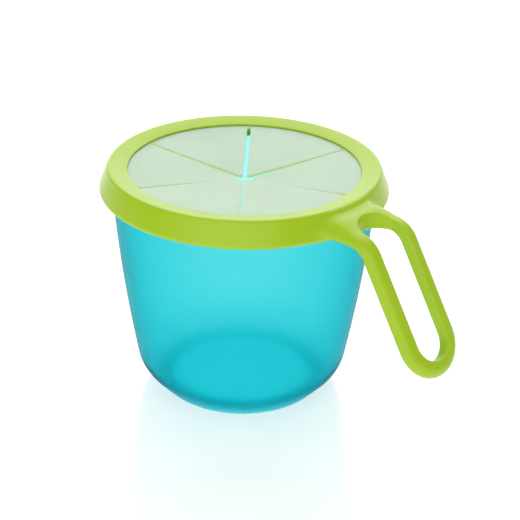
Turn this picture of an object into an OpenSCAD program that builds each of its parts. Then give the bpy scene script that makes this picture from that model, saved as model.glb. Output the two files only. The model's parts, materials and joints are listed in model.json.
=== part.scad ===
// Toddler's spill-proof snack pot: a translucent bowl, a push-on collar ring
// with a looped handle, and a soft disc whose slits make six flaps that a
// small hand pushes through.
// The pot stands on z = 0 with its axis on Z, and the handle points along +X.

/* [Bowl] */
// Radius of the flat that the bowl stands on
base_flat_r = 27.5; // [20:0.5:34]
// Radius of the small round at the edge of that flat
base_edge_r = 6; // [2:0.5:10]
// Steepness of the flank above it, in degrees from level
flank_deg = 48; // [35:1:60]
// Length of the straight flank
flank_len = 7; // [1:0.5:14]
// Radius of the round from the flank into the side wall
shoulder_r = 14; // [6:1:24]
// Outward lean of the wall where it leaves that round, in degrees
wall_lean_deg = 10.3; // [4:0.1:16]
// Radius of the wall's slight barrel curve
wall_arc_r = 600; // [300:10:1200]
// Height of the bowl's rim
rim_z = 84.1; // [60:0.1:110]
// Thickness of the wall
wall_t = 1.8; // [1.2:0.1:3]
// Thickness of the floor
floor_t = 2.2; // [1.5:0.1:4]
// Radius of the round inside, between floor and wall
inner_round_r = 17; // [8:1:24]
// How far the bead on the rim stands out of the wall
rim_bead = 0.35; // [0.2:0.05:0.8]

/* [Collar] */
// Radius of the hand opening
opening_r = 42.5; // [38:0.5:48]
// Height of the opening's edge
opening_z = 87.8; // [70:0.1:115]
// How far the top face rises from the opening to its outer edge
land_rise = 1.1; // [0:0.1:3]
// Outer radius where the top face ends
land_r = 50; // [44:0.1:54]
// Outer radius at the bottom of the skirt
skirt_r = 52.8; // [46:0.1:56]
// Height of the bottom of the skirt
skirt_z = 79.5; // [60:0.1:105]
// Radius of the round along the outer top edge
top_edge_r = 1.2; // [0.3:0.1:3]
// Thickness of the skirt at its bottom edge
skirt_t = 2.6; // [1.2:0.1:4]

/* [Handle] */
// Overall width of the loop
loop_w = 26.2; // [20:0.1:40]
// Width of the loop's bar
bar_w = 5.5; // [4:0.1:9]
// Thickness of the loop's bar
bar_t = 4.4; // [3:0.1:7]
// Radius of the round on the bar's outer, outward corner
bar_round = 3.2; // [0.5:0.1:3.4]
// Height of the bar's middle where it leaves the collar
arm_z = 83.1; // [70:0.1:100]
// Distance from the axis to the centre of the slot's round upper end
loop_top_x = 62.5; // [55:0.1:70]
// Distance from the axis at which the loop starts to bend down
bend_x = 61.4; // [58:0.1:80]
// Radius of that bend, at the middle of the bar
bend_r = 9; // [3:0.1:15]
// Lean of the hanging part, in degrees from upright
loop_lean_deg = 32.7; // [5:0.1:45]
// How far the loop's top rises where it meets the collar
root_rise = 2.2; // [0:0.1:2.5]
// Radius of the flare from the loop's outer edges into the collar
flare_r = 8; // [3:0.5:12]
// Straight length of the hanging part
leg_len = 32.9; // [15:0.1:60]

/* [Soft disc] */
// Thickness of the soft disc
disc_t = 1.1; // [0.8:0.1:2]
// How far the disc's flat part lies below its rim
disc_drop = 1.7; // [0.5:0.1:4]
// How far its centre lies below its flat part
centre_drop = 1.9; // [0:0.1:6]
// Radius of the hexagon's corners, where the slits end
slit_end_r = 41.7; // [36:0.1:42]
// Width of a slit
slit_w = 1.1; // [0.4:0.1:2]
// Radius of the hole where the slits meet
centre_hole_r = 2; // [1:0.1:5]
// Turn of the first slit from the handle, in degrees
slit_turn = 12; // [0:1:59]

/* [Hidden] */
$fn = 144;
far = 120;                    // reaches past the part in any direction
arc_fn = 1440;                // fine enough for the wall's long arc

// Bowl outline: flat, edge round, flank, shoulder, then the wall's long arc.
edge_c = [base_flat_r, base_edge_r];
flank_from = edge_c + base_edge_r * [sin(flank_deg), -cos(flank_deg)];
flank_to = flank_from + flank_len * [cos(flank_deg), sin(flank_deg)];
shoulder_c = flank_to + shoulder_r * [-sin(flank_deg), cos(flank_deg)];
wall_from = shoulder_c + shoulder_r * [cos(wall_lean_deg), -sin(wall_lean_deg)];
wall_c = wall_from - wall_arc_r * [cos(wall_lean_deg), -sin(wall_lean_deg)];
inner_arc_r = wall_arc_r - wall_t;
inner_c_z = floor_t + inner_round_r;
inner_c = [wall_c.x + sqrt(pow(inner_arc_r - inner_round_r, 2)
                           - pow(inner_c_z - wall_c.y, 2)), inner_c_z];
function wall_r(z) = wall_c.x + sqrt(pow(wall_arc_r, 2) - pow(z - wall_c.y, 2));
bead_r = 0.9;                 // round of the rim's bead
rim_r = wall_r(rim_z) + rim_bead;
bead_c = [rim_r - bead_r, rim_z - bead_r];

// Collar section, from the bore over the bowl's rim up to the opening.
run_gap = 0.06;               // running clearance between bead and bore
seat_gap = 0.15;              // collar's seat above the bowl's rim
bore_gap = 0.3;               // clearance above the ridge
bore_r = rim_r + bore_gap;
ridge_r = rim_r + run_gap;
ridge_z = rim_z - 2.4;
ridge_half = 0.4;             // half the height of the ridge's crest
skirt_in_r = skirt_r - skirt_t;
seat_z = rim_z + seat_gap;
land_z = opening_z + land_rise;
lip_t = 0.8;                  // lip above the soft disc
disc_top_z = opening_z - lip_t;
fit_gap = 0.05;               // disc in its groove
groove_depth = 3.1;
groove_r = opening_r + groove_depth;
groove_low_z = disc_top_z - disc_t - 2 * fit_gap;
lower_lip_r = opening_r + lip_t;
skirt_tip_r = skirt_t / 2;
edge_round_c = [land_r - top_edge_r, land_z - top_edge_r];

// Loop handle.
loop_r = (loop_w - bar_w) / 2;
corner_small = 0.6;
corner_back = 1.2;
bend_deg = 90 - loop_lean_deg;
arm_low_z = arm_z - bar_t / 2;
arm_top_z = arm_z + bar_t / 2;
root_gap = 0.02;              // the handle stops this far from the collar
root_low_z = skirt_z + 0.3;
rise_x = land_r + 3;          // the root is at its full height up to here
slot_r = loop_r - bar_w / 2;
slot_step = 0.02;             // the slot's round end stays this far inside its sides
flare_bite = 0.4;             // the flare starts and ends this deep in its neighbours
flare_y = loop_w / 2 + flare_r - flare_bite;
flare_x = sqrt(pow(skirt_r + flare_r - 2 * flare_bite, 2) - pow(flare_y, 2));
flare_low_z = arm_low_z + 0.4;
flare_top_z = arm_top_z - 1.2;
lap = 0.25;                   // straight parts run this far into the bends,
bend_grow = 0.02;             // whose section is this much larger all round

// Soft disc: rim held in the collar, and flaps hinged along a hexagon's sides.
flat_top_z = disc_top_z - disc_drop;
hinge_z = flat_top_z - disc_t / 2;
hinge_clear = 0.1;
hexagon_apothem = slit_end_r * cos(30);
hinge_x = hexagon_apothem - disc_t / 2 - hinge_clear;
flap_slope = atan(centre_drop / hinge_x);
drop_run = 2.3;               // radial run of the step from rim to flat
disc_edge_r = groove_r - fit_gap;
hang_r = opening_r - 0.3;     // where the step leaves the rim
flat_r = hang_r - drop_run;   // where the step reaches the flat part
under_shift = 0.7;            // the step's underside lies this much further out
hexagon_inside_r = hinge_x - 3;

module bowl_outer() {
    polygon([[0, 0], [base_flat_r, 0], flank_from, flank_to, wall_from, [0, wall_from.y]]);
    translate(edge_c) circle(r = base_edge_r);
    intersection() {
        translate(shoulder_c) circle(r = shoulder_r);
        square([far, wall_from.y]);
    }
    intersection() {
        translate(wall_c) circle(r = wall_arc_r, $fn = arc_fn);
        translate([0, wall_from.y]) square([far, rim_z - bead_r - wall_from.y]);
    }
    translate(bead_c) circle(r = bead_r);
    translate([0, bead_c.y]) square([bead_c.x, bead_r]);
}

module bowl_inner() {
    translate([0, floor_t]) square([inner_c.x, inner_round_r]);
    intersection() {
        translate(inner_c) circle(r = inner_round_r);
        square([far, inner_c.y]);
    }
    intersection() {
        translate(wall_c) circle(r = inner_arc_r, $fn = arc_fn);
        translate([0, inner_c.y]) square([far, far]);
    }
}

module bowl() {
    color([0.20, 0.80, 0.84, 0.75]) rotate_extrude() difference() {
        bowl_outer();
        bowl_inner();
    }
}

// The collar's outside, as a section from the axis out.
module collar_outside() {
    polygon([[0, skirt_z + skirt_tip_r], [skirt_r, skirt_z + skirt_tip_r],
             [land_r, edge_round_c.y], [edge_round_c.x, land_z],
             [opening_r, opening_z], [0, opening_z]]);
    translate(edge_round_c) circle(r = top_edge_r);
    translate([skirt_r - skirt_tip_r, skirt_z + skirt_tip_r]) circle(r = skirt_tip_r);
}

module collar_hollow() {
    square([opening_r, far]);
    // Groove that holds the soft disc's rim.
    translate([0, groove_low_z]) square([groove_r, disc_top_z - groove_low_z]);
    square([lower_lip_r, groove_low_z]);
    // Bore over the bowl's rim, its ridge, and the lead-in below.
    polygon([[0, seat_z], [bore_r, seat_z], [bore_r, ridge_z + 2 * ridge_half],
             [ridge_r, ridge_z + ridge_half], [ridge_r, ridge_z - ridge_half],
             [skirt_in_r, skirt_z + skirt_tip_r], [skirt_in_r, 0], [0, 0]]);
}

module collar() {
    color([0.72, 0.82, 0.22]) rotate_extrude() difference() {
        collar_outside();
        collar_hollow();
    }
}

// Section of the loop's bar: x is away from the loop's middle, y is outward.
module bar_section(grow = 0) {
    half = [bar_w / 2 + grow, bar_t / 2 + grow];
    corners = [[1, 1, bar_round], [-1, 1, corner_small],
               [-1, -1, corner_small], [1, -1, corner_back]];
    polygon([for (c = corners) for (k = c.x * c.y > 0 ? [0, 1] : [1, 0])
        [c.x * (half.x - k * c.z), c.y * (half.y - (1 - k) * c.z)]]);
    for (c = corners) intersection() {
        translate([c.x * (half.x - c.z), c.y * (half.y - c.z)])
            circle(r = c.z, $fn = 48);
        translate([c.x > 0 ? half.x - c.z : -half.x,
                   c.y > 0 ? half.y - c.z : -half.y]) square(c.z);
    }
}

// One side of the loop as a straight bar of length len, along +X.
module loop_bar(len) {
    rotate([90, 0, 90]) linear_extrude(len) translate([loop_r, 0]) bar_section();
}

module loop_end() {
    rotate_extrude(start = -90, angle = 180)
        translate([loop_r, 0]) bar_section(bend_grow);
}

module loop_bend() {
    translate([bend_x, 0, arm_z - bend_r]) rotate([-90, 0, 0])
        rotate_extrude(start = -90, angle = bend_deg)
            translate([bend_r, loop_r]) mirror([1, -1]) bar_section(bend_grow);
}

module both_sides() {
    children();
    mirror([0, 1, 0]) children();
}

// The loop's root, a block from the collar to the bends: children give its side
// view, and edge is how far it stays inside the loop's outer edges.
module root(edge) {
    half = loop_w / 2 - edge;
    difference() {
        rotate([90, 0, 0]) linear_extrude(2 * half, center = true) children();
        translate([loop_top_x, 0, 0]) cylinder(r = slot_r - slot_step, h = far);
    }
}

module low_root() {
    root(corner_back)
        polygon([[0, root_low_z], [skirt_r, root_low_z],
                 [bend_x, arm_low_z], [bend_x, arm_z], [0, arm_z]]);
}

module high_root() {
    root(bar_round)
        polygon([[0, arm_z], [bend_x, arm_z], [bend_x, arm_top_z],
                 [rise_x, arm_top_z + root_rise], [0, arm_top_z + root_rise]]);
}

// Flare from the loop's outer edge into the collar's side.
module flare() {
    translate([0, 0, flare_low_z]) linear_extrude(flare_top_z - flare_low_z) difference() {
        translate([0, loop_r]) square([flare_x, flare_y - loop_r]);
        translate([flare_x, flare_y]) circle(r = flare_r);
    }
}

// The loop: arms that leave the collar, bends, and the hanging part.
module loop() {
    both_sides() {
        translate([land_r, 0, arm_z]) loop_bar(bend_x - land_r + lap);
        loop_bend();
        flare();
    }
    translate([bend_x, 0, arm_z - bend_r]) rotate([0, bend_deg, 0])
        translate([0, 0, bend_r]) {
            both_sides() translate([-lap, 0, 0]) loop_bar(leg_len + lap);
            translate([leg_len, 0, 0]) loop_end();
        }
}

module handle() {
    color([0.70, 0.81, 0.20]) difference() {
        union() {
            loop();
            low_root();
            high_root();
        }
        // Room for the collar, whose side the root grows out of.
        rotate_extrude()
            polygon([[0, 0], [skirt_r + root_gap, 0],
                     [skirt_r + root_gap, skirt_z + skirt_tip_r],
                     [land_r + root_gap, edge_round_c.y], [0, edge_round_c.y]]);
    }
}

// The disc's rim: an edge in the collar's groove, a step down, and a flat part
// with a six-sided opening.
module disc_rim() {
    color([0.80, 0.91, 0.84]) difference() {
        rotate_extrude() polygon([
            [disc_edge_r, disc_top_z - fit_gap],
            [hang_r, disc_top_z - fit_gap],
            [flat_r, flat_top_z],
            [hexagon_inside_r, flat_top_z],
            [hexagon_inside_r, flat_top_z - disc_t],
            [flat_r + under_shift, flat_top_z - disc_t],
            [hang_r + under_shift, groove_low_z + fit_gap],
            [disc_edge_r, groove_low_z + fit_gap]]);
        rotate(slit_turn) cylinder(r = slit_end_r, h = far, $fn = 6);
    }
}

// One flap, lying along +X: a plate that narrows to the centre hole, with a
// rounded root that turns inside the rim's straight side.
module flap() {
    root_half = hinge_x * tan(30) - slit_w / 2 / cos(30);
    plate_len = hinge_x / cos(flap_slope);
    translate([hinge_x, 0, hinge_z]) {
        rotate([0, -flap_slope, 0]) difference() {
            translate([-plate_len, 0, -disc_t / 2]) linear_extrude(disc_t)
                polygon([[slit_w, 0], [plate_len, root_half],
                         [plate_len, -root_half]]);
            translate([-plate_len, 0, -far / 2])
                cylinder(r = centre_hole_r, h = far);
        }
        rotate([90, 0, 0])
            cylinder(d = disc_t, h = 2 * root_half, center = true);
    }
}

module placed_flap(i) {
    color([0.83, 0.93, 0.86]) rotate(slit_turn + 60 * i - 30) flap();
}

bowl();
collar();
handle();
disc_rim();
placed_flap(1);  // flap_1
placed_flap(2);  // flap_2
placed_flap(3);  // flap_3
placed_flap(4);  // flap_4
placed_flap(5);  // flap_5
placed_flap(6);  // flap_6
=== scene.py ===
# A spill-proof snack pot: a translucent bowl, a push-on collar with a looped handle, and a soft
# disc whose slits make six flaps. Shapes are worked out in millimetres and made in metres.
import json
from math import asin, atan2, cos, degrees, pi, radians, sin, sqrt

import bpy
import numpy as np
from mathutils import Matrix, Vector


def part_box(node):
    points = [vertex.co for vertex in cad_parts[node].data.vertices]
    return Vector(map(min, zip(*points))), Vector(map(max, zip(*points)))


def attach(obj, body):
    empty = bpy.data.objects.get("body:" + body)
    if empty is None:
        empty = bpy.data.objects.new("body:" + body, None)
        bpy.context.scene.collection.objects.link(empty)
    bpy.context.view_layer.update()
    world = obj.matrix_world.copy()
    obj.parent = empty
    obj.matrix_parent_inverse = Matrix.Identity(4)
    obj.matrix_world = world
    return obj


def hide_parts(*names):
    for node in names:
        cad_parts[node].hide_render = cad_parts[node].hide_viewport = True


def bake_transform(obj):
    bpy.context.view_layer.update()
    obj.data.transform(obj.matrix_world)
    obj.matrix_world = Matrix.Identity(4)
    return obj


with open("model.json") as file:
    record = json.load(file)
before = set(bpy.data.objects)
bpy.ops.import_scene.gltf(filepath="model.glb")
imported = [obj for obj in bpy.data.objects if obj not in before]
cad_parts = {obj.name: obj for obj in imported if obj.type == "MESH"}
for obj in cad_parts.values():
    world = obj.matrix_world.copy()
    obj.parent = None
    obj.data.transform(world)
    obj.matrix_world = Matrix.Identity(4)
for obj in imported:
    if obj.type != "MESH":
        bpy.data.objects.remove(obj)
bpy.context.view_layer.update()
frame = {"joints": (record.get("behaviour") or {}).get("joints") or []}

MM = 0.001

# ---------------------------------------------------------------- sizes from the frame, in mm
bowl_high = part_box("bowl")[1] / MM
collar_low, collar_high = (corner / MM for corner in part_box("collar"))
disc_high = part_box("disc_rim")[1] / MM
handle_low, handle_high = (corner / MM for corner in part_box("handle"))
flap_joints = {j["child"]: j for j in frame["joints"] if j["type"] == "hinge"}

rim_z = bowl_high.z
skirt_z = collar_low.z
land_z = collar_high.z
skirt_r = collar_high.x
disc_top = disc_high.z


# ---------------------------------------------------------------- camera
def make_camera():
    """Looks at the pot's middle, then turns a little so that the pot sits left of centre."""
    aim = Vector((0, 0, 45)) * MM
    distance = 0.5
    azimuth, elevation = radians(-46), radians(27.29)
    turn_right, turn_up, roll = radians(0.73), radians(0.475), radians(0.994)
    outward = Vector((cos(elevation) * cos(azimuth), cos(elevation) * sin(azimuth), sin(elevation)))
    forward = -outward
    right = forward.cross(Vector((0, 0, 1))).normalized()
    up = right.cross(forward)
    forward, right = (
        forward * cos(turn_right) + right * sin(turn_right),
        right * cos(turn_right) - forward * sin(turn_right),
    )
    forward, up = (
        forward * cos(turn_up) + up * sin(turn_up),
        up * cos(turn_up) - forward * sin(turn_up),
    )
    right, up = (
        right * cos(roll) + up * sin(roll),
        up * cos(roll) - right * sin(roll),
    )
    data = bpy.data.cameras.new("camera")
    data.lens = 91.58
    data.sensor_width = 36
    camera = bpy.data.objects.new("camera", data)
    bpy.context.scene.collection.objects.link(camera)
    turned = Matrix((right, up, -forward)).transposed().to_4x4()
    camera.matrix_world = Matrix.Translation(aim + outward * distance) @ turned
    bpy.context.scene.camera = camera


# ---------------------------------------------------------------- materials
MIX_COLOUR_A, MIX_COLOUR_B, MIX_COLOUR_RESULT = 6, 7, 2
NOISE_LOW, NOISE_HIGH = 0.35, 0.65


class Nodes:
    """A short way to write a material's node tree."""

    def __init__(self, name):
        self.material = bpy.data.materials.new(name)
        self.material.use_nodes = True
        self.tree = self.material.node_tree
        self.shader = self.tree.nodes["Principled BSDF"]
        self.output = self.tree.nodes["Material Output"]

    def add(self, kind, **values):
        """A new node, with the given values on the sockets or settings that they name."""
        node = self.tree.nodes.new(kind)
        for key, value in values.items():
            if key in node.inputs:
                node.inputs[key].default_value = value
            else:
                setattr(node, key, value)
        return node

    def link(self, source, target):
        self.tree.links.new(source, target)

    def set(self, **values):
        """Puts values on the shader's own sockets, named with _ for each space."""
        for key, value in values.items():
            self.shader.inputs[key.replace("_", " ")].default_value = value

    def noise(self, scale, detail=3.0):
        place = self.add("ShaderNodeTexCoord")
        noise = self.add("ShaderNodeTexNoise", Scale=scale, Detail=detail)
        self.link(place.outputs["Object"], noise.inputs["Vector"])
        return noise.outputs["Fac"]

    def ramp(self, source, low, high, name):
        """Feeds the named socket with a colour or value between low and high.

        It follows source through the middle of its range."""
        spread = self.add("ShaderNodeMapRange")
        spread.inputs["From Min"].default_value = NOISE_LOW
        spread.inputs["From Max"].default_value = NOISE_HIGH
        self.link(source, spread.inputs["Value"])
        if isinstance(low, tuple):
            mix = self.add("ShaderNodeMix", data_type="RGBA")
            mix.inputs[MIX_COLOUR_A].default_value = (*low, 1)
            mix.inputs[MIX_COLOUR_B].default_value = (*high, 1)
            self.link(spread.outputs["Result"], mix.inputs["Factor"])
            self.link(mix.outputs[MIX_COLOUR_RESULT], self.shader.inputs[name])
        else:
            spread.inputs["To Min"].default_value = low
            spread.inputs["To Max"].default_value = high
            self.link(spread.outputs["Result"], self.shader.inputs[name])

    def bump(self, source, height_mm):
        """Lifts the surface by up to this height where source is high."""
        bump = self.add("ShaderNodeBump", Strength=1.0, Distance=height_mm * MM)
        self.link(source, bump.inputs["Height"])
        self.link(bump.outputs["Normal"], self.shader.inputs["Normal"])


def lime_plastic():
    """Moulded polypropylene, coloured all through, with a soft gloss."""
    n = Nodes("lime_plastic")
    n.set(IOR=1.49)
    n.ramp(n.noise(60), (0.40, 0.61, 0.003), (0.42, 0.63, 0.005), "Base Color")
    n.ramp(n.noise(150), 0.29, 0.32, "Roughness")
    return n.material


def aqua_plastic():
    """Tinted see-through polypropylene: light that goes further through it comes out bluer."""
    n = Nodes("aqua_plastic")
    n.set(IOR=1.08, Transmission_Weight=1.0)
    n.set(Base_Color=(1, 1, 1, 1), Specular_Tint=(0.12, 0.75, 0.80, 1))
    n.ramp(n.noise(40), 0.33, 0.36, "Roughness")
    n.bump(n.noise(350, 2), 0.008)
    glow = n.add("ShaderNodeBsdfTranslucent", Color=(0.0, 0.88, 0.97, 1))
    glow_share = 0.2
    both = n.add("ShaderNodeMixShader")
    factor, first_shader, second_shader = both.inputs
    factor.default_value = glow_share
    n.link(n.shader.outputs["BSDF"], first_shader)
    n.link(glow.outputs["BSDF"], second_shader)
    n.link(both.outputs["Shader"], n.output.inputs["Surface"])
    depth = n.add("ShaderNodeVolumeAbsorption", Density=480)
    depth.inputs["Color"].default_value = (0.0, 0.87, 0.90, 1)
    n.link(depth.outputs["Volume"], n.output.inputs["Volume"])
    return n.material


def soft_mint():
    """Soft translucent elastomer with a satin surface."""
    n = Nodes("soft_mint")
    n.set(IOR=1.43, Transmission_Weight=0.15)
    n.set(Subsurface_Weight=0.4, Subsurface_Scale=2 * MM, Subsurface_Radius=(0.7, 1.0, 0.8))
    n.ramp(n.noise(50), (0.59, 0.745, 0.57), (0.63, 0.785, 0.61), "Base Color")
    n.ramp(n.noise(1200), 0.46, 0.52, "Roughness")
    n.bump(n.noise(900, 2), 0.006)
    return n.material


def mint_edge_painted_glow():
    """The same elastomer where a slit cuts it, with a painted glow: an olive colour and a faint
    emission stand in for light carried through the elastomer.
    """
    n = Nodes("mint_edge_painted_glow")
    # Painted glow: the olive emission stands in for light that comes through the soft disc to its
    # cut faces.
    n.set(IOR=1.43, Emission_Color=(0.50, 0.62, 0.22, 1), Emission_Strength=0.35)
    n.ramp(n.noise(200), (0.50, 0.58, 0.20), (0.54, 0.62, 0.24), "Base Color")
    n.ramp(n.noise(1200), 0.35, 0.45, "Roughness")
    return n.material


def pale_floor():
    """A pale glossy table that glows a little, so that the pot has a soft reflection in it."""
    n = Nodes("pale_floor")
    n.set(IOR=1.8, Roughness=0.17, Emission_Color=(1, 1, 1, 1), Emission_Strength=0.58)
    n.ramp(n.noise(3), (0.56, 0.56, 0.56), (0.58, 0.58, 0.58), "Base Color")
    return n.material


# ---------------------------------------------------------------- mesh helpers
def link_mesh(name, points, faces, materials, indices=None):
    """A smooth-shaded object from points in mm."""
    mesh = bpy.data.meshes.new(name)
    mesh.from_pydata((np.asarray(points, float) * MM).tolist(), [], faces)
    mesh.polygons.foreach_set("use_smooth", [True] * len(mesh.polygons))
    for material in materials:
        mesh.materials.append(material)
    if indices is not None:
        mesh.polygons.foreach_set("material_index", indices)
    mesh.validate()
    mesh.update()
    piece = bpy.data.objects.new(name, mesh)
    bpy.context.scene.collection.objects.link(piece)
    return piece


def arc(centre, r, start, end, steps=8):
    """Points on a round in the section plane, where start and end are in degrees."""
    turns = [radians(start + (end - start) * k / steps) for k in range(steps + 1)]
    return [(centre[0] + r * cos(t), centre[1] + r * sin(t)) for t in turns]


def lathe(name, outline, material):
    """A closed section of (radius, height) turned round Z. Points on the axis become poles."""
    steps, on_axis = 288, 1e-6
    points, rings, faces = [], [], []
    for r, z in outline:
        if r < on_axis:
            points.append((0, 0, z))
            rings.append([len(points) - 1] * steps)
            continue
        first = len(points)
        turns = [2 * pi * k / steps for k in range(steps)]
        points += [(r * cos(t), r * sin(t), z) for t in turns]
        rings.append(list(range(first, first + steps)))
    for low, high in zip(rings, rings[1:] + rings[:1]):
        if low[0] == low[1] and high[0] == high[1]:
            continue
        for k in range(steps):
            m = (k + 1) % steps
            corners = (low[k], low[m], high[m], high[k])
            without_repeats = tuple(dict.fromkeys(corners))
            faces.append(without_repeats)
    return link_mesh(name, points, faces, [material])


# ---------------------------------------------------------------- bowl
def bowl_outline():
    """Floor, rounded flank, a long barrel-curved wall and a beaded rim, outside then inside."""
    flat_r, edge_r, flank_deg, flank_len = 27.5, 6.0, 48.0, 7.0
    shoulder_r, lean_deg, long_r = 14.0, 10.3, 600.0
    wall, floor, inner_round = 1.8, 3.0, 17.0
    bead_out, bead_r, bead_neck, lip = 0.35, 0.9, 0.8, 0.5
    wall_steps = 30
    flank, lean = radians(flank_deg), radians(lean_deg)
    edge_arc = arc((flat_r, edge_r), edge_r, -90, flank_deg - 90)
    edge_x, edge_z = edge_arc[-1]
    flank_x, flank_z = edge_x + flank_len * cos(flank), edge_z + flank_len * sin(flank)
    shoulder = (flank_x - shoulder_r * sin(flank), flank_z + shoulder_r * cos(flank))
    shoulder_arc = arc(shoulder, shoulder_r, flank_deg - 90, -lean_deg, 14)
    wall_x, wall_z = shoulder_arc[-1]
    long_c = (wall_x - long_r * cos(lean), wall_z + long_r * sin(lean))

    def wall_r(z, r=long_r):
        return long_c[0] + sqrt(r * r - (z - long_c[1]) ** 2)

    bead = (wall_r(rim_z) + bead_out - bead_r, rim_z - bead_r)
    outer_heights = np.linspace(wall_z, bead[1] - bead_neck, wall_steps)[1:]
    outer = [
        (0, 0),
        *edge_arc,
        *shoulder_arc,
        *((wall_r(z), z) for z in outer_heights),
        *arc(bead, bead_r, -20, 90, 10),
    ]
    inner_r = long_r - wall
    corner = (wall_r(floor + inner_round, inner_r - inner_round), floor + inner_round)
    leave = atan2(corner[1] - long_c[1], corner[0] - long_c[0])
    lip_c = (wall_r(rim_z - lip, inner_r) + lip, rim_z - lip)
    join_z = corner[1] + inner_round * sin(leave)
    inner_heights = np.linspace(rim_z - lip, join_z, wall_steps)[1:-1]
    inner = [
        *arc(lip_c, lip, 90, 180, 6),
        *((wall_r(z, inner_r), z) for z in inner_heights),
        *arc(corner, inner_round, degrees(leave), -90, 24),
        (0, floor),
    ]
    return outer + inner


# ---------------------------------------------------------------- collar
opening_r, lip_edge_z = 42.5, 87.8
land_r, top_round = 50.0, 1.2
skirt_wall = 2.6
skirt_tip_r = skirt_wall / 2
tip_c = (skirt_r - skirt_tip_r, skirt_z + skirt_tip_r)
top_c = (land_r - top_round, land_z - top_round)
skirt_lean = atan2(skirt_r - land_r, top_c[1] - tip_c[1])


def collar_outline():
    """Land, opening lip, groove for the disc, seat and bore for the rim, ridge, and skirt."""
    lip_round, lip_chamfer = 0.3, 0.15
    lip_low = disc_top + 0.05
    groove_r, groove_low = 45.6, lip_low - 1.2
    ledge_r = opening_r + 0.8
    seat = rim_z + 0.15
    bore, ridge = 49.17, 48.93
    ridge_z, ridge_half, ridge_ramp = rim_z - 2.4, 0.4, 0.4
    land_slope = degrees(atan2(land_z - lip_edge_z, top_c[0] - opening_r))
    skirt_top = degrees(skirt_lean)
    lip_c = (opening_r + lip_round, lip_edge_z - lip_round)
    return [
        *arc(tip_c, skirt_tip_r, 180, 360 + skirt_top, 14),
        *arc(top_c, top_round, skirt_top, 90 + land_slope, 10),
        *arc(lip_c, lip_round, 90 + land_slope, 180, 6),
        (opening_r, lip_low + lip_chamfer),
        (opening_r + lip_chamfer, lip_low),
        (groove_r, lip_low),
        (groove_r, groove_low),
        (ledge_r, groove_low),
        (ledge_r, seat),
        (bore, seat),
        (bore, ridge_z + ridge_half + ridge_ramp),
        (ridge, ridge_z + ridge_half),
        (ridge, ridge_z - ridge_half),
    ]


# ---------------------------------------------------------------- handle
loop_half_width, loop_bar, loop_thick = 13.1, 5.5, 4.4
loop_r = loop_half_width - loop_bar / 2
slot_end_x, loop_bend_x, loop_arm_z = 63.9, 61.4, 83.1
root_rise, rise_from, rise_to = 2.0, 63.0, 54.5
root_fillet, flare = 3.0, 10.0
loop_bend_r, loop_bend = 9.0, radians(57.3)
loop_leg = 32.9


def smooth_min(a, b, reach):
    """Where a or b holds, with a fillet between them."""
    near = np.maximum(reach - np.abs(a - b), 0) / reach
    return np.minimum(a, b) - near * near * reach / 4


def smooth_step(t):
    """Goes from 0 to 1 as t does, and starts and ends level."""
    return t * t * (3 - 2 * t)


def round_max(a, b, r):
    """Where both a and b hold, with their shared corner rounded."""
    return np.minimum(-r, np.maximum(a, b)) + np.hypot(np.maximum(a + r, 0), np.maximum(b + r, 0))


def skirt_distance(x, y, z):
    """Distance outside the collar's skirt, top round and bottom tip."""
    r = np.hypot(x, y)
    side = (r - skirt_r + (z - tip_c[1]) * np.tan(skirt_lean)) * cos(skirt_lean)
    tip = np.hypot(np.maximum(r - tip_c[0], 0), z - tip_c[1]) - skirt_tip_r
    top = np.hypot(np.maximum(r - top_c[0], 0), np.maximum(z - top_c[1], 0)) - top_round
    return np.where(z < tip_c[1], tip, np.where(z > top_c[1], top, side))


def loop_distance(x, y, z):
    """Distance outside the loop: a slotted flat bar, bent once and flared where it meets the skirt.

    along and out are measured along the bar's middle surface and away from it."""
    face_round, back_round, slot_round = 3.2, 1.2, 0.6
    rise_margin, rise_ramp = 2, 8
    centre_z = loop_arm_z - loop_bend_r
    dx, dz = x - loop_bend_x, z - centre_z
    turn = np.arctan2(dx, dz)
    reach = np.hypot(dx, dz)
    leg_along = dx * cos(loop_bend) - dz * sin(loop_bend)
    leg_out = dx * sin(loop_bend) + dz * cos(loop_bend)
    on_leg = (turn > loop_bend) | (turn < loop_bend - pi)
    on_arm = ~on_leg & (dx <= 0)
    bend_len = loop_bend_r * loop_bend
    along = np.where(on_leg, bend_len + leg_along, loop_bend_r * turn)
    along = np.where(on_arm, x, loop_bend_x + along)
    out = np.where(on_leg, leg_out, reach) - loop_bend_r
    out = np.where(on_arm, z - loop_arm_z, out)
    end = loop_bend_x + bend_len + loop_leg
    outer = np.hypot(np.maximum(along - end, 0), y) - loop_r - loop_bar / 2
    inner = loop_r - loop_bar / 2 - np.hypot(along - np.clip(along, slot_end_x, end), y)
    outer = smooth_min(outer, skirt_distance(x, y, z) + root_fillet, flare)
    inward = np.clip((rise_from - x) / (rise_from - rise_to), 0, 1)
    middle = np.clip((loop_half_width + rise_margin - np.abs(y)) / rise_ramp, 0, 1)
    face = out - loop_thick / 2 - root_rise * smooth_step(inward) * smooth_step(middle)
    back = -out - loop_thick / 2
    return np.maximum(
        np.maximum(round_max(outer, face, face_round), round_max(outer, back, back_round)),
        np.maximum(round_max(inner, face, slot_round), round_max(inner, back, slot_round)),
    )


def handle_distance(x, y, z):
    """The loop with its fillet on the skirt, without what lies deep inside the collar's wall."""
    root_half, root_start, root_depth = 21.0, top_c[0] + 0.4, 1.1
    below_skirt, least_x = 0.02, 40
    skirt = skirt_distance(x, y, z)
    whole = smooth_min(loop_distance(x, y, z), skirt + below_skirt, root_fillet)
    sides = np.maximum(np.abs(y) - root_half, root_start - np.hypot(x, y))
    return np.maximum(np.maximum(whole, -root_depth - skirt), np.maximum(sides, least_x - x))


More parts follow.
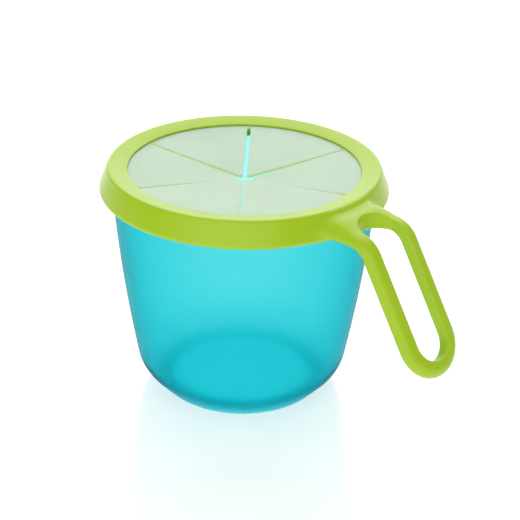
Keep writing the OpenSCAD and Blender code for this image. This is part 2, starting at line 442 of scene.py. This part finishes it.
def surface_net(distance, low, high, cell):
    """Points and quads on the zero surface of a distance function.

    Each cell that the surface crosses gets a point, and each crossed grid edge gets a quad."""
    counts = [int((b - a) / cell) + 2 for a, b in zip(low, high)]
    axes = [a + cell * np.arange(n) for a, n in zip(low, counts)]
    grid = np.stack(np.meshgrid(*axes, indexing="ij"), -1)
    value = distance(grid[..., 0], grid[..., 1], grid[..., 2])
    cells = [n - 1 for n in counts]
    total = np.zeros((*cells, 3))
    hits = np.zeros(cells)
    crossings = []
    for axis in range(3):
        first = [slice(None)] * 3
        second = [slice(None)] * 3
        first[axis], second[axis] = slice(0, -1), slice(1, None)
        a, b = value[tuple(first)], value[tuple(second)]
        at = np.argwhere((a < 0) != (b < 0))
        u, v = (axis + 1) % 3, (axis + 2) % 3
        keep = (at[:, u] > 0) & (at[:, v] > 0) & (at[:, u] < cells[u]) & (at[:, v] < cells[v])
        at = at[keep]
        va, vb = a[tuple(at.T)], b[tuple(at.T)]
        place = np.array(low) + at * cell
        place[:, axis] += cell * va / (va - vb)
        around = []
        for du, dv in ((0, 0), (1, 0), (1, 1), (0, 1)):
            cell_at = at.copy()
            cell_at[:, u] -= du
            cell_at[:, v] -= dv
            np.add.at(total, tuple(cell_at.T), place)
            np.add.at(hits, tuple(cell_at.T), 1)
            around.append(cell_at)
        crossings.append((np.stack(around, 1), va < 0))
    used = hits > 0
    index = np.full(cells, -1)
    index[used] = np.arange(int(used.sum()))
    points = total[used] / hits[used][:, None]
    quads = []
    for around, rises in crossings:
        corners = index[around[..., 0], around[..., 1], around[..., 2]]
        quads.append(np.where(rises[:, None], corners, corners[:, ::-1]))
    return points, np.concatenate(quads)


def settle(distance, points):
    """Moves points onto the zero surface along its slope."""
    rounds, step, pace, least_steepness = 6, 0.01, 0.8, 0.2
    for _ in range(rounds):
        here = distance(*points.T)
        slope = np.empty_like(points)
        for axis in range(3):
            shift = np.zeros(3)
            shift[axis] = step
            ahead, behind = distance(*(points + shift).T), distance(*(points - shift).T)
            slope[:, axis] = (ahead - behind) / (2 * step)
        steepness = np.maximum((slope**2).sum(1), least_steepness)
        points = points - pace * slope * (here / steepness)[:, None]
    return points


def make_handle(material):
    """The looped handle as one closed mesh, from its distance function."""
    margin, cell = 1.5, 0.3
    from_x, half_y = 44.0, 22.0
    low = (from_x, -half_y, handle_low.z - margin)
    high = (handle_high.x + margin, half_y, land_z + margin)
    points, quads = surface_net(handle_distance, low, high, cell)
    points = settle(handle_distance, points)
    return link_mesh("loop_handle", points, quads.tolist(), [material])


# ---------------------------------------------------------------- soft disc
disc_thick, disc_hang_r, disc_fall = 1.1, 42.2, 3.6
slit_end = 42.2
closed_slit, open_slit, pinched_slit = 0.42, 0.65, 0.18
sector_r = 42.95
tip_round = 0.35


def disc_z(r, sag):
    """Height of the disc's top: a rim, then a shallow dish, lower where a flap has slumped."""
    sag_power = 1.6
    dish = np.clip((disc_hang_r - r) / disc_hang_r, 0, 1)
    return disc_top - disc_fall * dish - sag * dish**sag_power


def sector_rows(tip_r):
    """Radii of a flap's rows, close together at its tip and at the slit's round end."""
    middle_rows, end_gap = 70, 0.3
    tip = [tip_r + tip_round * (1 - cos(radians(a))) for a in (0, 30, 60, 90)]
    start = slit_end - open_slit
    middle = list(np.linspace(tip_r + 2 * tip_round, start - end_gap, middle_rows))
    end = [start + open_slit * sin(radians(a)) for a in (0, 20, 40, 55, 70, 80, 90)]
    uncut = [slit_end + 0.1, slit_end + 0.4, sector_r]
    return tip + middle + end + uncut


def make_flap(name, centre_angle, tip_r, sag, slits, materials):
    """One sixth of the disc, from near the centre to just under the collar's lip, as a loft.

    slits gives half the width of the slit on its right and on its left, seen from the centre.
    The faces that a slit cuts get the second material."""
    half_sixth = pi / 6
    edge_round, columns, hairline = 0.28, 26, 0.01
    edge_turns = [radians(a) for a in (0, 22.5, 45, 67.5, 90)]
    loops = []
    for r in sector_rows(tip_r):
        short = max(tip_r + tip_round - r, 0)
        tip_fall = tip_round - sqrt(max(tip_round**2 - short**2, 0))
        thick = disc_thick - 2 * tip_fall
        top = float(disc_z(r, sag)) - tip_fall
        sides = []
        for half_width in slits:
            past = max(r - (slit_end - half_width), 0)
            gap = max(sqrt(max(half_width**2 - past**2, 0)), hairline)
            edge = max(edge_round * gap / half_width, hairline)
            reach = half_sixth - asin(gap / r)
            rounding = [
                (reach - edge * (1 - cos(a)) / r, edge * (1 - sin(a))) for a in edge_turns
            ]
            sides.append((reach - edge / r, rounding))
        (right, right_round), (left, left_round) = sides
        across = [-right + (left + right) * k / columns for k in range(1, columns)]
        half_ring = [(-turn, fall) for turn, fall in right_round]
        half_ring += [(turn, 0) for turn in across]
        half_ring += left_round[::-1]
        ring = [(turn, top - fall) for turn, fall in half_ring]
        ring += [(turn, top - thick + fall) for turn, fall in half_ring[::-1]]
        loops.append([
            (r * cos(centre_angle + turn), r * sin(centre_angle + turn), z) for turn, z in ring
        ])
    count = len(loops[0])
    points = [p for loop in loops for p in loop]
    side = count // 2
    # The faces that a slit cuts carry the second material, which has a painted glow.
    cut = {0, side - 2, side - 1, side, count - 2, count - 1}
    faces, indices = [], []
    for low in range(0, (len(loops) - 1) * count, count):
        high = low + count
        for k in range(count):
            m = (k + 1) % count
            faces.append((low + k, high + k, high + m, low + m))
            indices.append(1 if k in cut else 0)
    last = (len(loops) - 1) * count
    for k in range(side - 1):
        cap = (k, k + 1, count - 2 - k, count - 1 - k)
        faces += [cap, tuple(last + corner for corner in cap[::-1])]
        indices += [1, 0]
    return link_mesh(name, points, faces, materials, indices)


def disc_rim_outline():
    """The disc's edge, held in the collar's groove."""
    inner, outer, chamfer = sector_r + 0.01, 45.55, 0.2
    low = disc_top - disc_thick
    return [
        (inner, low),
        (outer - chamfer, low),
        (outer, low + chamfer),
        (outer, disc_top - chamfer),
        (outer - chamfer, disc_top),
        (inner, disc_top),
    ]


# ---------------------------------------------------------------- surroundings
def make_floor():
    half = 6000.0
    corners = [(-half, -half, 0), (half, -half, 0), (half, half, 0), (-half, half, 0)]
    floor = link_mesh("floor", corners, [(0, 1, 2, 3)], [pale_floor()])


def area_light(name, azimuth, elevation, distance, size, power):
    """A softbox that looks at the pot's middle: angles in degrees, sizes in metres."""
    aim = Vector((0, 0, 50)) * MM
    data = bpy.data.lights.new(name, "AREA")
    data.shape = "RECTANGLE"
    data.size, data.size_y = size
    data.energy = power
    light = bpy.data.objects.new(name, data)
    azimuth, elevation = radians(azimuth), radians(elevation)
    away = Vector((cos(elevation) * cos(azimuth), cos(elevation) * sin(azimuth), sin(elevation)))
    light.location = aim + away * distance
    light.rotation_euler = away.to_track_quat("Z", "Y").to_euler()
    bpy.context.scene.collection.objects.link(light)


def make_lights():
    """An even white room, a large softbox behind the pot and smaller ones above and in front."""
    world = bpy.data.worlds.new("studio")
    world.use_nodes = True
    background = world.node_tree.nodes["Background"]
    background.inputs["Color"].default_value = (1, 1, 1, 1)
    background.inputs["Strength"].default_value = 0.45
    bpy.context.scene.world = world
    area_light("back_softbox", 134, 32, 1.3, (1.8, 1.4), 12)
    area_light("top_softbox", 134, 78, 1.1, (1.0, 1.0), 3)
    area_light("front_softbox", -60, 22, 1.2, (1.6, 0.9), 4.6)


# ---------------------------------------------------------------- the pot
make_camera()
bpy.context.scene.view_settings.view_transform = "Standard"

lime = lime_plastic()
mint, painted_glow_edge = soft_mint(), mint_edge_painted_glow()

bowl = lathe("bowl_shell", bowl_outline(), aqua_plastic())
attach(bowl, "bowl")
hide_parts("bowl")

collar = lathe("collar_ring", collar_outline(), lime)
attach(collar, "lid")
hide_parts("collar")

handle = make_handle(lime)
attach(handle, "lid")
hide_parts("handle")

disc_rim = lathe("disc_edge", disc_rim_outline(), mint)
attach(disc_rim, "lid")
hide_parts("disc_rim")

# Two flaps have slumped a little further than the others, and end a little sooner.
usual_slump, usual_tip_r = 0.1, 2.0
slumps = {"flap_1": 1.1, "flap_4": 0.8}
tip_radii = {"flap_1": 3.2, "flap_4": 2.6}
# The slit between flaps 2 and 3 stands open, and the one opposite it is pinched.
usual_slits = (closed_slit, closed_slit)
slit_halves = {
    "flap_2": (closed_slit, open_slit),
    "flap_3": (open_slit, closed_slit),
    "flap_5": (closed_slit, pinched_slit),
    "flap_6": (pinched_slit, closed_slit),
}
for flap, joint in sorted(flap_joints.items()):
    x, y, z = joint["pos_m"]
    angle = atan2(y, x)
    piece = make_flap(
        f"soft_{flap}",
        angle,
        tip_radii.get(flap, usual_tip_r),
        slumps.get(flap, usual_slump),
        slit_halves.get(flap, usual_slits),
        [mint, painted_glow_edge],
    )
    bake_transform(piece)
    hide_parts(flap)

make_floor()
make_lights()
